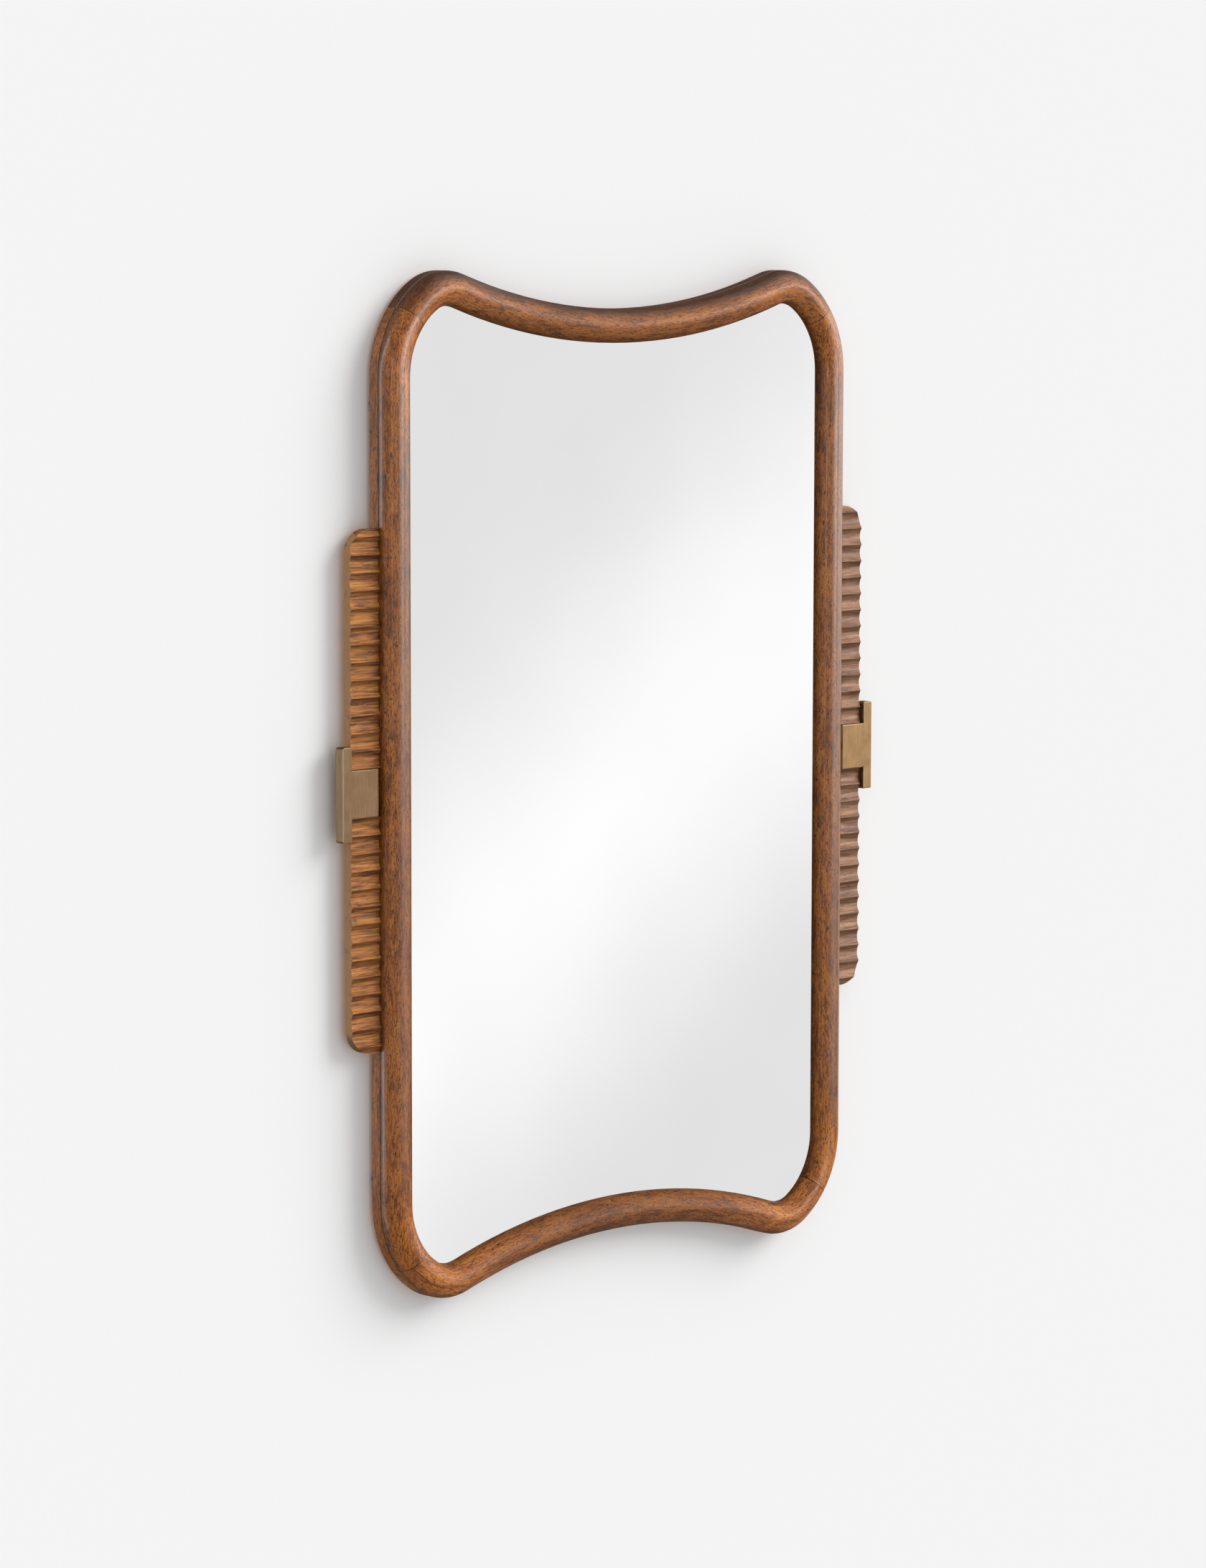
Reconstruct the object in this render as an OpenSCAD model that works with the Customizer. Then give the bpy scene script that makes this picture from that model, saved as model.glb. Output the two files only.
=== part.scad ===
// Wall mirror: a mitred, half-round wooden frame with eared corners and hollow
// top and bottom edges, fluted wings on both sides and T-shaped brass brackets.
//
// The origin lies on the wall, at the middle of the frame. +X is to the viewer's
// right, +Z is up and the glass faces -Y. Every piece is drawn lying on its back,
// x to the right, y up the mirror and z out of the wall from the frame's back,
// and hung() then stands it against the wall.

/* [Frame] */
// Width over the two stiles
frame_w = 640; // [560:10:760]
// Height over the ears
frame_h = 1016; // [800:8:1400]
// Depth from the frame's back to the crown of the moulding
frame_d = 31; // [28:0.5:36]
// Width of the moulding, from the outer side to the sight edge
rail_w = 34.5; // [32:0.5:38]
// Depth of the plain side, from the back to the groove under the half-round
side_d = 12.5; // [11.5:0.1:13]
// Width and depth of the groove under the half-round
groove = 0.9; // [0.5:0.1:1.2]

/* [Corners] */
// Slope at which the hollow edge runs up into an ear, in degrees
ear_slope = 18.6; // [14:0.2:23]
// Radius over the top of an ear
ear_r = 64; // [56:1:72]
// Radius from an ear down to the stile
shoulder_r = 111; // [96:1:130]
// Angle above the horizontal at which the ear passes into the shoulder
shoulder_angle = 57.7; // [50:0.1:64]
// Angle above the horizontal of the glued joint between rail and stile
joint_angle = 38; // [30:1:46]
// Diameter of the corner dowels
dowel_d = 8; // [6:0.5:9]
// Length of the corner dowels
dowel_l = 36; // [24:1:44]
// Distance of the lower corner dowel from the outer side
low_dowel_s = 9; // [7:0.5:11]
// Height of the lower corner dowel above the frame's back
low_dowel_z = 7; // [6:0.5:9]
// Distance of the upper corner dowel from the outer side
high_dowel_s = 19; // [16:0.5:21]
// Height of the upper corner dowel above the frame's back
high_dowel_z = 20; // [19:0.5:22]

/* [Glass and backing] */
// Thickness of the mirror glass
glass_t = 5; // [3:0.5:6]
// Height of the ledge that the glass rests against, above the frame's back
ledge_z = 12.5; // [11.5:0.1:13]
// Width of the ledge over the edge of the glass
ledge_w = 10; // [8:0.5:12]
// Play between the edge of the glass and the frame
glass_play = 1; // [0.5:0.1:2]
// Thickness of the backing board
board_t = 5; // [3:0.5:6]
// Width of the step that carries the edge of the backing board
step_w = 7.5; // [6.5:0.5:9]
// Play between the edge of the backing board and the frame
board_play = 0.5; // [0.3:0.1:1.5]
// Distance of the board screws from the wall of their step
screw_in = 3.8; // [3.2:0.1:4]
// Shank diameter of the board screws
board_screw_d = 3.2; // [2.5:0.1:4]
// Head diameter of the board screws
board_head_d = 6; // [5:0.1:6.4]
// Length of the board screws
board_screw_l = 14; // [11:1:16]
// Board screws on each stile
side_screws = 4; // [2:1:6]
// Board screws on each rail
rail_screws = 3; // [1:2:5]
// Distance between neighbouring board screws on a rail
rail_screw_gap = 150; // [100:5:180]

/* [Wings] */
// Width of a wing beside the stile
wing_w = 36.5; // [30:0.5:44]
// Height of a wing
wing_h = 512; // [470:2:520]
// Height of the wings' middle above the middle of the frame
wing_rise = 4; // [0:1:12]
// Distance of a wing's back from the frame's back
wing_back = 3.5; // [2.5:0.1:4]
// Distance of the ridges between the flutes from the frame's back
ridge_z = 14.5; // [14:0.1:15.5]
// Radius of a wing's outer corners
wing_r = 24; // [14:1:28]
// Distance from one flute to the next
flute_pitch = 17.3; // [14:0.1:22]
// Depth of a flute
flute_d = 2.5; // [1.5:0.1:2.8]
// Flat left on the ridge between two flutes
ridge_flat = 0.6; // [0.2:0.1:1.2]
// Diameter of the wing dowels
wing_dowel_d = 5; // [4:0.5:6]
// Length of the wing dowels
wing_dowel_l = 28; // [20:1:30]
// Distance of the outer wing dowels from the wing's ends
wing_dowel_end = 56; // [40:2:90]
// Height of the wing dowels' axis above the frame's back
wing_dowel_z = 7.8; // [7.5:0.1:8]

/* [Brackets] */
// Height of the bracket's stem
stem_h = 47.3; // [40:0.1:56]
// Thickness of the bracket's stem
stem_t = 6; // [5:0.5:8]
// Gap between the stile and the end of the stem
stem_gap = 6; // [2:0.5:8]
// Height of the bracket's bar
bar_h = 93; // [70:1:120]
// Width of the bracket's bar, seen from the front
bar_w = 11.8; // [8:0.2:14]
// Depth of the bracket's bar
bar_d = 11; // [8:0.5:13]
// Gap between the wing's edge and the bar
bar_gap = 2.4; // [1:0.1:4.5]
// Radius of the bar's outer corners
bar_r = 2.5; // [1:0.1:4]
// Bevel on the front edges of the bracket
bracket_bevel = 0.8; // [0.4:0.1:1]
// Play between the stem and the walls of its housing
stem_play = 0.3; // [0.2:0.1:0.6]
// Diameter of the bracket screws
bracket_screw_d = 4; // [3:0.5:5]
// Head diameter of the bracket screws
bracket_head_d = 7.6; // [7:0.1:8.5]
// Distance between the two screws of a bracket
bracket_screw_gap = 26; // [18:1:30]
// Depth of the threaded holes in the stem
thread_l = 3.5; // [2:0.1:3.5]

/* [Hangers] */
// Height of the rings' axis above the middle of the frame
hanger_y = 300; // [200:5:330]
// Width of a hanger's strap
strap_w = 11; // [10:0.5:11.5]
// Length of a hanger's strap below the rings' axis
strap_l = 36; // [32:1:44]
// Thickness of the sheet that the strap is folded from
strap_t = 0.9; // [0.7:0.1:1]
// Diameter of the ring's wire
wire_d = 2.2; // [1.8:0.1:2.4]
// Play of the ring's wire in the fold
wire_play = 0.1; // [0.08:0.01:0.2]
// Play between the strap's edges and the ring's legs
leg_play = 0.8; // [0.5:0.1:1]
// Length of the ring's straight legs
leg_l = 4; // [3:0.5:5]
// Lean of the hanging ring away from its strap, in degrees
ring_lean = 7; // [7:0.5:7.5]
// Distance of a hanger's middle from the frame's outer side
hanger_s = 11.2; // [11:0.1:11.3]
// Diameter of the hanger screws
hanger_screw_d = 3; // [2.5:0.1:3.2]
// Head diameter of the hanger screws
hanger_head_d = 5.8; // [5:0.1:6.2]
// Length of the hanger screws
hanger_screw_l = 16; // [12:1:18]
// Distance of the first hanger screw below the rings' axis
hanger_screw_first = 18; // [16:1:20]
// Distance between the two screws of a hanger
hanger_screw_gap = 12; // [9:1:13]

/* [Bumpers] */
// Height of the rubber bumpers, the gap between frame and wall
bumper_h = 5; // [5:0.5:8]
// Diameter of the bumpers where they are glued on
bumper_d = 12; // [8:0.5:14]
// Diameter of the bumpers at the wall
bumper_tip_d = 10; // [6:0.5:10]
// Distance of the bumpers from the ends of the straight stile
bumper_end = 24; // [12:1:40]

/* [Hidden] */

$fn = 96;
// Faces on small round parts
small_fn = 32;
// Overlap of a cutting shape past the face that it cuts
over = 1;
// Glue line between the blocks of a rail
glue_line = 0.02;
// Play round a dowel, a screw and a thread
dowel_play = 0.1;
screw_play = 0.05;
hole_play = 0.3;
// Extra play of the glass and the board at the hollow edges
hollow_play = 0.3;
// Angle below an ear where the edge of the glass and the board leaves the shoulder
panel_step = 4;
// Free depth past the end of a dowel
dowel_well = 1;

walnut = "#8a5a2e";
ramin = "#d8bd8c";
hardboard = "#9c7a55";
antique_brass = "#94784f";
zinc = "#b9bcc0";
black_rubber = "#262523";

half_w = frame_w / 2;
half_h = frame_h / 2;
crown_r = rail_w / 2;
crown_z = frame_d - crown_r;
board_z = ledge_z - glass_t;
glass_s = rail_w - ledge_w;
board_s = glass_s - step_w;

// Centres of the arcs of the outline's upper right quarter
ear_y = half_h - ear_r;
shoulder_x = half_w - shoulder_r;
shoulder_y = ear_y - (shoulder_r - ear_r) * sin(shoulder_angle);
ear_x = shoulder_x + (shoulder_r - ear_r) * cos(shoulder_angle);
hollow_r = ear_x / sin(ear_slope) - ear_r;
hollow_y = ear_y + (ear_r + hollow_r) * cos(ear_slope);

flute_chord = flute_pitch - ridge_flat;
flute_r = (pow(flute_chord / 2, 2) + pow(flute_d, 2)) / (2 * flute_d);
flutes = ceil((wing_h - stem_h) / 2 / flute_pitch);
land_z = ridge_z - flute_d;
bracket_z = land_z + stem_t;
bar_x = half_w + wing_w + bar_gap;
stem_x = half_w + stem_gap;
screw_x = (stem_x + half_w + wing_w) / 2;

fold_r = strap_t + wire_d / 2 + wire_play;
plate_t = 2 * strap_t;
ring_r = strap_w / 2 + leg_play + wire_d / 2;

// Stands a piece drawn on its back against the wall
module hung() {
  translate([0, -bumper_h, 0]) rotate([90, 0, 0]) children();
}

// A piece and its mirror image on the left, or at the bottom
module both_sides() {
  children();
  mirror([1, 0, 0]) children();
}

module top_and_bottom() {
  children();
  mirror([0, 1, 0]) children();
}

// Cross-section of the moulding: x from the outer side, y from the frame's back
module moulding() {
  difference() {
    union() {
      square([rail_w, crown_z]);
      translate([crown_r, crown_z]) circle(crown_r, $fn = 72);
    }
    translate([-over, -crown_r]) square([rail_w + 2 * over, crown_r]);
    translate([-over, side_d - groove / 2]) square([groove + over, groove]);
    translate([glass_s, -over]) square([ledge_w + over, ledge_z + over]);
    translate([board_s, -over]) square([step_w + ledge_w + over, board_z + over]);
  }
}

// The moulding swept round an arc that turns inwards. The path starts at the
// origin and heads along +y, and the inside of the frame is at +x.
module arc_in(r, turn) {
  translate([r, 0, 0]) mirror([1, 0, 0]) rotate_extrude(angle = turn)
    translate([r, 0]) mirror([1, 0]) moulding();
}

// The same for an arc that turns outwards
module arc_out(r, turn) {
  translate([-r, 0, 0]) rotate_extrude(angle = turn, $fn = 360)
    translate([r, 0]) moulding();
}

// Moves its children from the start of an arc to its end
module along_in(r, turn) {
  translate([r, 0, 0]) rotate([0, 0, -turn]) translate([-r, 0, 0]) children();
}

module along_out(r, turn) {
  translate([-r, 0, 0]) rotate([0, 0, turn]) translate([r, 0, 0]) children();
}

// The block of an ear: its arc, drawn back from its far end, and from there on
// the shoulder down to the joint with the stile
module ear_block() {
  turn = ear_slope + 90 - shoulder_angle;
  along_in(ear_r, turn) {
    mirror([0, 1, 0]) arc_in(ear_r, turn);
    arc_in(shoulder_r, shoulder_angle - joint_angle);
  }
}

// The top rail: the hollow block between the glued-on blocks of the two ears
module rail_blocks() {
  glue_turn = glue_line / hollow_r * 180 / PI;
  translate([0, hollow_y, 0]) rotate([0, 0, -90 - ear_slope]) translate([hollow_r, 0, 0]) {
    mirror([0, 1, 0]) ear_block();
    along_out(hollow_r, glue_turn) arc_out(hollow_r, 2 * (ear_slope - glue_turn));
    along_out(hollow_r, 2 * ear_slope) ear_block();
  }
}

// A countersunk screw: its head's top lies at z = 0 and it points up
module screw(d, head_d, l) {
  cylinder(h = (head_d - d) / 2, d1 = head_d, d2 = d, $fn = small_fn);
  cylinder(h = l, d = d, $fn = small_fn);
}

// The clearance for a screw, open below z = 0
module screw_hole(d, head_d, l, play) {
  screw(d + 2 * play, head_d + 2 * play, l + play);
  translate([0, 0, -over]) cylinder(h = over + play / 2, d = head_d + 2 * play, $fn = small_fn);
}

// The two dowels across the joint of the upper right corner
module joint_dowels(d, l) {
  for (place = [[low_dowel_s, low_dowel_z], [high_dowel_s, high_dowel_z]])
    translate([shoulder_x, shoulder_y]) rotate([0, 0, joint_angle])
      translate([shoulder_r - place[0], 0, place[1]]) rotate([90, 0, 0])
        cylinder(h = l, d = d, center = true, $fn = small_fn);
}

module joint_dowel_holes() {
  joint_dowels(dowel_d + 2 * dowel_play, dowel_l + 2 * dowel_well);
}

// Heights of the wing dowels, and of the board screws on the stiles
wing_dowel_ys = [for (k = [-1, 0, 1]) wing_rise + k * (wing_h / 2 - wing_dowel_end)];
side_screw_reach = shoulder_y - 2 * bumper_end;
side_screw_ys = [for (i = [0 : side_screws - 1])
                 side_screw_reach * (2 * i / (side_screws - 1) - 1)];
screw_s = board_s + screw_in;

module wing_dowel_row(d, l) {
  for (y = wing_dowel_ys)
    translate([half_w, y, wing_dowel_z]) rotate([0, 90, 0])
      cylinder(h = l, d = d, center = true, $fn = small_fn);
}

module wing_dowel_holes() {
  wing_dowel_row(wing_dowel_d + 2 * dowel_play, wing_dowel_l + 2 * dowel_well);
}

// Places its children at each board screw of the right stile
module at_side_screws() {
  for (y = side_screw_ys) translate([half_w - screw_s, y, board_z - board_t]) children();
}

// Places its children at each board screw of the top rail, along the hollow
module at_rail_screws() {
  for (i = [0 : rail_screws - 1]) {
    x = (i - (rail_screws - 1) / 2) * rail_screw_gap;
    y = hollow_y - sqrt(pow(hollow_r + screw_s, 2) - x * x);
    translate([x, y, board_z - board_t]) children();
  }
}

module board_screw() {
  screw(board_screw_d, board_head_d, board_screw_l);
}

module board_pilot() {
  screw_hole(board_screw_d, board_head_d, board_screw_l, screw_play);
}

// Top rail, with the holes for its dowels and board screws
module rail() {
  difference() {
    rail_blocks();
    both_sides() joint_dowel_holes();
    at_rail_screws() board_pilot();
  }
}

// Right stile: the straight moulding with the lower part of both shoulders
module stile() {
  difference() {
    translate([half_w, 0, 0]) mirror([1, 0, 0]) top_and_bottom()
      translate([0, shoulder_y, 0]) {
        rotate([90, 0, 0]) linear_extrude(shoulder_y) moulding();
        arc_in(shoulder_r, joint_angle);
      }
    top_and_bottom() joint_dowel_holes();
    wing_dowel_holes();
    at_side_screws() board_pilot();
    at_hanger() hanger_screw_row() cylinder(h = hanger_screw_l + screw_play,
      d = hanger_screw_d + 2 * screw_play, $fn = small_fn);
  }
}

// A flat panel whose edge lies at a distance s inside the frame's outline. It
// has a little more play at the hollow and above the shoulders, which is hidden.
module panel(s, t) {
  ear = (ear_r - s) * [cos(shoulder_angle), sin(shoulder_angle)];
  tip = (ear_r - s) * [-sin(ear_slope), cos(ear_slope)];
  linear_extrude(t) difference() {
    both_sides() top_and_bottom() {
      polygon([[0, 0], [half_w - s, 0], [half_w - s, shoulder_y],
               [ear_x, ear_y] + ear, [ear_x, ear_y] + tip, [0, ear_y + tip[1]]]);
      translate([ear_x, ear_y]) circle(ear_r - s);
      translate([shoulder_x, shoulder_y]) intersection() {
        circle(shoulder_r - s);
        polygon(2 * shoulder_r * [[0, 0], [1, 0], [cos(shoulder_angle - panel_step),
                                                  sin(shoulder_angle - panel_step)]]);
      }
    }
    top_and_bottom() translate([0, hollow_y]) circle(hollow_r + s + hollow_play, $fn = 360);
  }
}

// The wing's outline: a strip with its two outer corners rounded
module wing_outline() {
  intersection() {
    square([wing_w, wing_h]);
    union() {
      square([wing_w - wing_r, wing_h]);
      translate([0, wing_r]) square([wing_w, wing_h - 2 * wing_r]);
      for (y = [wing_r, wing_h - wing_r]) translate([wing_w - wing_r, y]) circle(wing_r);
    }
  }
}

// Right wing: flutes across the strip, above and below the stem's housing
module wing() {
  difference() {
    translate([half_w, wing_rise - wing_h / 2, wing_back])
      linear_extrude(ridge_z - wing_back) wing_outline();
    translate([half_w - over, wing_rise, ridge_z - flute_d + flute_r])
      for (side = [-1, 1], i = [0 : flutes - 1])
        translate([0, side * (stem_h / 2 + stem_play + (i + 0.5) * flute_pitch), 0])
          rotate([0, 90, 0]) cylinder(h = wing_w + 2 * over, r = flute_r);
    translate([half_w - over, wing_rise - stem_h / 2 - stem_play, land_z])
      cube([wing_w + 2 * over, stem_h + 2 * stem_play, flute_d + over]);
    wing_dowel_holes();
    at_bracket_screws() screw_hole(bracket_screw_d, bracket_head_d, stem_t + ridge_z, hole_play);
  }
}

// Places its children at the two screws of the right bracket, on the wing's back
module at_bracket_screws() {
  for (k = [-1, 1])
    translate([screw_x, wing_rise + k * bracket_screw_gap / 2, wing_back]) children();
}

bracket_screw_l = land_z - wing_back + thread_l;

// Section of a bar that lies on y = 0, with its two upper edges bevelled
module bevelled_bar(w, t) {
  b = bracket_bevel;
  polygon([[-w / 2, 0], [w / 2, 0], [w / 2, t - b], [w / 2 - b, t], [b - w / 2, t], [-w / 2, t - b]]);
}

// Outline of the bracket's bar, with its two outer corners rounded
module bar_outline() {
  square([bar_w - bar_r, bar_h]);
  translate([0, bar_r]) square([bar_w, bar_h - 2 * bar_r]);
  for (y = [bar_r, bar_h - bar_r]) translate([bar_w - bar_r, y]) circle(bar_r);
}

// Right bracket: the bar, bevelled all round its front, and the stem on the wing
module bracket() {
  difference() {
    translate([0, wing_rise, 0]) {
      translate([stem_x, 0, land_z]) rotate([90, 0, 90])
        linear_extrude(bar_x + bar_r - stem_x) bevelled_bar(stem_h, stem_t);
      translate([bar_x, 0, bracket_z - bar_d]) intersection() {
        translate([0, -bar_h / 2, 0]) linear_extrude(bar_d) bar_outline();
        translate([bar_w / 2, bar_h / 2, 0]) rotate([90, 0, 0])
          linear_extrude(bar_h) bevelled_bar(bar_w, bar_d);
        rotate([90, 0, 90]) linear_extrude(bar_w) bevelled_bar(bar_h, bar_d);
      }
    }
    at_bracket_screws() cylinder(h = bracket_screw_l + screw_play,
      d = bracket_screw_d + 2 * screw_play, $fn = small_fn);
  }
}

// Places its children at the right hanger: its axis is at y = 0 and the
// frame's back at z = 0
module at_hanger() {
  translate([half_w - hanger_s, hanger_y, 0]) children();
}

// Places its children at the two screws of a hanger, on the frame's back
module hanger_screw_row() {
  for (i = [0, 1])
    translate([0, -hanger_screw_first - i * hanger_screw_gap, 0]) children();
}

// Hanger: a strap folded round the ring's bar and screwed to the stile
module hanger() {
  difference() {
    union() {
      translate([-strap_w / 2, strap_w / 2 - strap_l, -plate_t])
        cube([strap_w, strap_l - strap_w / 2, plate_t]);
      translate([0, strap_w / 2 - strap_l, -plate_t])
        cylinder(h = plate_t, d = strap_w, $fn = small_fn);
      translate([-strap_w / 2, 0, -fold_r]) rotate([0, 90, 0])
        cylinder(h = strap_w, r = fold_r, $fn = small_fn);
    }
    translate([-strap_w / 2 - over, 0, -fold_r]) rotate([0, 90, 0])
      cylinder(h = strap_w + 2 * over, d = wire_d + 2 * wire_play, $fn = small_fn);
    hanger_screw_row() translate([0, 0, -plate_t])
      screw_hole(hanger_screw_d, hanger_head_d, plate_t + over, screw_play);
  }
}

// Ring: a D bent from wire, its straight bar in the fold, hanging down
module ring() {
  translate([0, 0, -fold_r]) rotate([ring_lean, 0, 0]) {
    translate([-ring_r, 0, 0]) rotate([0, 90, 0])
      cylinder(h = 2 * ring_r, d = wire_d, $fn = small_fn);
    for (x = [-ring_r, ring_r]) {
      translate([x, 0, 0]) sphere(d = wire_d, $fn = small_fn);
      translate([x, 0, 0]) rotate([90, 0, 0]) cylinder(h = leg_l, d = wire_d, $fn = small_fn);
    }
    translate([0, -leg_l, 0]) rotate([0, 0, 180]) rotate_extrude(angle = 180)
      translate([ring_r, 0]) circle(d = wire_d, $fn = small_fn);
  }
}

// The nodes

module top_rail() {
  color(walnut) hung() rail();
}

module bottom_rail() {
  color(walnut) hung() mirror([0, 1, 0]) rail();
}

module right_stile() {
  color(walnut) hung() stile();
}

module left_stile() {
  color(walnut) hung() mirror([1, 0, 0]) stile();
}

module corner_dowels() {
  color(ramin) hung() both_sides() top_and_bottom() joint_dowels(dowel_d, dowel_l);
}

module mirror_glass() {
  color("lightsteelblue") hung()
    translate([0, 0, board_z]) panel(glass_s + glass_play, glass_t);
}

module backing_board() {
  color(hardboard) hung() difference() {
    translate([0, 0, board_z - board_t]) panel(board_s + board_play, board_t);
    both_sides() at_side_screws() board_pilot();
    top_and_bottom() at_rail_screws() board_pilot();
  }
}

module board_screws() {
  color(zinc) hung() {
    both_sides() at_side_screws() board_screw();
    top_and_bottom() at_rail_screws() board_screw();
  }
}

module right_wing() {
  color(walnut) hung() wing();
}

module left_wing() {
  color(walnut) hung() mirror([1, 0, 0]) wing();
}

module wing_dowels() {
  color(ramin) hung() both_sides() wing_dowel_row(wing_dowel_d, wing_dowel_l);
}

module right_bracket() {
  color(antique_brass) hung() bracket();
}

module left_bracket() {
  color(antique_brass) hung() mirror([1, 0, 0]) bracket();
}

module bracket_screws() {
  color(zinc) hung() both_sides() at_bracket_screws()
    screw(bracket_screw_d, bracket_head_d, bracket_screw_l);
}

module right_hanger() {
  color(zinc) hung() at_hanger() hanger();
}

module left_hanger() {
  color(zinc) hung() mirror([1, 0, 0]) at_hanger() hanger();
}

module right_ring() {
  color(zinc) hung() at_hanger() ring();
}

module left_ring() {
  color(zinc) hung() mirror([1, 0, 0]) at_hanger() ring();
}

module hanger_screws() {
  color(zinc) hung() both_sides() at_hanger() hanger_screw_row()
    translate([0, 0, -plate_t])
      screw(hanger_screw_d, hanger_head_d, hanger_screw_l + plate_t);
}

module wall_bumpers() {
  color(black_rubber) hung() both_sides() top_and_bottom()
    translate([half_w - board_s / 2, shoulder_y - bumper_end, -bumper_h])
      cylinder(h = bumper_h, d1 = bumper_tip_d, d2 = bumper_d, $fn = 48);
}

top_rail();
bottom_rail();
left_stile();
right_stile();
corner_dowels();
mirror_glass();
backing_board();
board_screws();
left_wing();
right_wing();
wing_dowels();
left_bracket();
right_bracket();
bracket_screws();
left_hanger();
right_hanger();
left_ring();
right_ring();
hanger_screws();
wall_bumpers();
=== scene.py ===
# %% [markdown]
# # A wooden wall mirror with fluted wings, dressed for its picture
#
# The construction of this mirror comes as a fixed frame: rails, stiles, glass, wings, brackets and
# the hardware behind them, all at their real size. This lesson gives them their looks. It begins
# with the frame and its measures, because every later step is placed from them.

# %% Load the frame
import math

import bpy
from mathutils import Euler, Matrix, Vector


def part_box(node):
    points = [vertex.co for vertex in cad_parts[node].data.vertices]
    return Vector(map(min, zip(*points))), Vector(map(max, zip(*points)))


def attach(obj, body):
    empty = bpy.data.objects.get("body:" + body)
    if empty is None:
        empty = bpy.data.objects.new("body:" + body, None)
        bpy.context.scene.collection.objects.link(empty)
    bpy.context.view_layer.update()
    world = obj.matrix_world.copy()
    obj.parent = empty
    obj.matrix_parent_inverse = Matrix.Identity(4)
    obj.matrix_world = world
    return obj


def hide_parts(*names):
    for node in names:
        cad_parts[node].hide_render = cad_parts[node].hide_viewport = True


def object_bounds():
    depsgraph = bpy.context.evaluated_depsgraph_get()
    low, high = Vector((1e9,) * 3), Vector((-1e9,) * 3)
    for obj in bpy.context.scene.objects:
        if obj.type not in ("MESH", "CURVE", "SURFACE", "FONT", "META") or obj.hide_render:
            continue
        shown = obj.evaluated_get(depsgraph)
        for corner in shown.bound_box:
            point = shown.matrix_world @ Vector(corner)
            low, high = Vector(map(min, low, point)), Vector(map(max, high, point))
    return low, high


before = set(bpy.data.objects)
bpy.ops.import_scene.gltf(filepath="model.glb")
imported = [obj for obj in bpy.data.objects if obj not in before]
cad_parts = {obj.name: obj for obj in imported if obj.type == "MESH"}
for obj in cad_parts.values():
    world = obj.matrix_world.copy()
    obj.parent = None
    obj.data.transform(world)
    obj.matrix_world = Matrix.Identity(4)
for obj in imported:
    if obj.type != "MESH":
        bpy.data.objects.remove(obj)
cad_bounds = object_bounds()
scene = bpy.context.scene
for corner in cad_bounds:
    print("box corner in mm", [round(1000 * v, 1) for v in corner])

# %% [markdown]
# ## Units and colours
#
# Blender measures in metres and shaders want linear light, while a maker thinks in millimetres and
# picks colours. Two small helpers translate, so that every value below can be read as it is
# on the workbench.

# %% Helpers for sizes and colours
def mm(*sizes):
    """Millimetres as metres: one number for one size, a vector for three."""
    metres = [size / 1000 for size in sizes]
    return metres[0] if len(metres) == 1 else Vector(metres)


def linear(code):
    """A colour written as sRGB hex, as the linear colour that a shader wants."""
    parts = [int(code[i:i + 2], 16) / 255 for i in (1, 3, 5)]
    return (*[p / 12.92 if p <= 0.04045 else ((p + 0.055) / 1.055) ** 2.4 for p in parts], 1.0)


print("mid brown in linear light", [round(c, 3) for c in linear("#8a5529")])

# %% [markdown]
# ## One helper for nodes
#
# A material is a small network, and adding it by hand means many clicks. In code one function is
# enough: it adds a node, sets its properties and fills its sockets, either with a value or with a
# link from another node. Colour ramps get their stops here too, because they aren't sockets. The
# sockets are called by name, or by number where a node has several of one name.

# %% Helpers for materials
SOFT_STEP = "SMOOTHSTEP"


def add(tree, kind, sockets=None, stops=None, **settings):
    """Adds one node. A socket takes a value, or the output of another node."""
    made = tree.nodes.new("ShaderNode" + kind)
    for name, value in settings.items():
        setattr(made, name, value)
    for key, value in (sockets or {}).items():
        if isinstance(value, bpy.types.NodeSocket):
            tree.links.new(value, made.inputs[key])
        else:
            made.inputs[key].default_value = value
    if stops:
        ramp = made.color_ramp
        while len(ramp.elements) < len(stops):
            ramp.elements.new(1.0)
        for element, (place, colour) in zip(ramp.elements, stops):
            element.position = place
            element.color = colour
    return made


def start_material(name):
    """A new material with an empty network, and its surface shader joined to the output."""
    material = bpy.data.materials.new(name)
    material.use_nodes = True
    tree = material.node_tree
    tree.nodes.clear()
    skin = add(tree, "BsdfPrincipled")
    add(tree, "OutputMaterial", {"Surface": skin.outputs[0]})
    return material, tree, skin


def dress(piece, material):
    """Gives a piece one material all over."""
    piece.data.materials.clear()
    piece.data.materials.append(material)


# %% [markdown]
# ## The camera
#
# The picture is taken from the left of the mirror, about 45 degrees off its face and level with
# its top edge, from five metres away with a long lens. Such a distance keeps the stiles nearly
# parallel. The place and the turns were found by matching the frame's edges, so they are typed in
# as they are.

# %% Place the camera
CAMERA_AT = Vector((-3.4018, -3.5709, 0.5201))
CAMERA_TURN = math.radians(-43.583)
CAMERA_TILT = math.radians(-6.171)
CAMERA_ROLL = math.radians(0.09)
LENS = 111.68
SENSOR = 36

camera_data = bpy.data.cameras.new("camera")
camera_data.lens = LENS
camera_data.sensor_width = SENSOR
camera = bpy.data.objects.new("camera", camera_data)
scene.collection.objects.link(camera)
aim = Euler((math.radians(90) + CAMERA_TILT, 0, CAMERA_TURN)).to_matrix()
aim = aim @ Matrix.Rotation(CAMERA_ROLL, 3, "Z")
camera.matrix_world = Matrix.Translation(CAMERA_AT) @ aim.to_4x4()
scene.camera = camera
print("camera stands", round(CAMERA_AT.length, 2), "m from the mirror")

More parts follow.
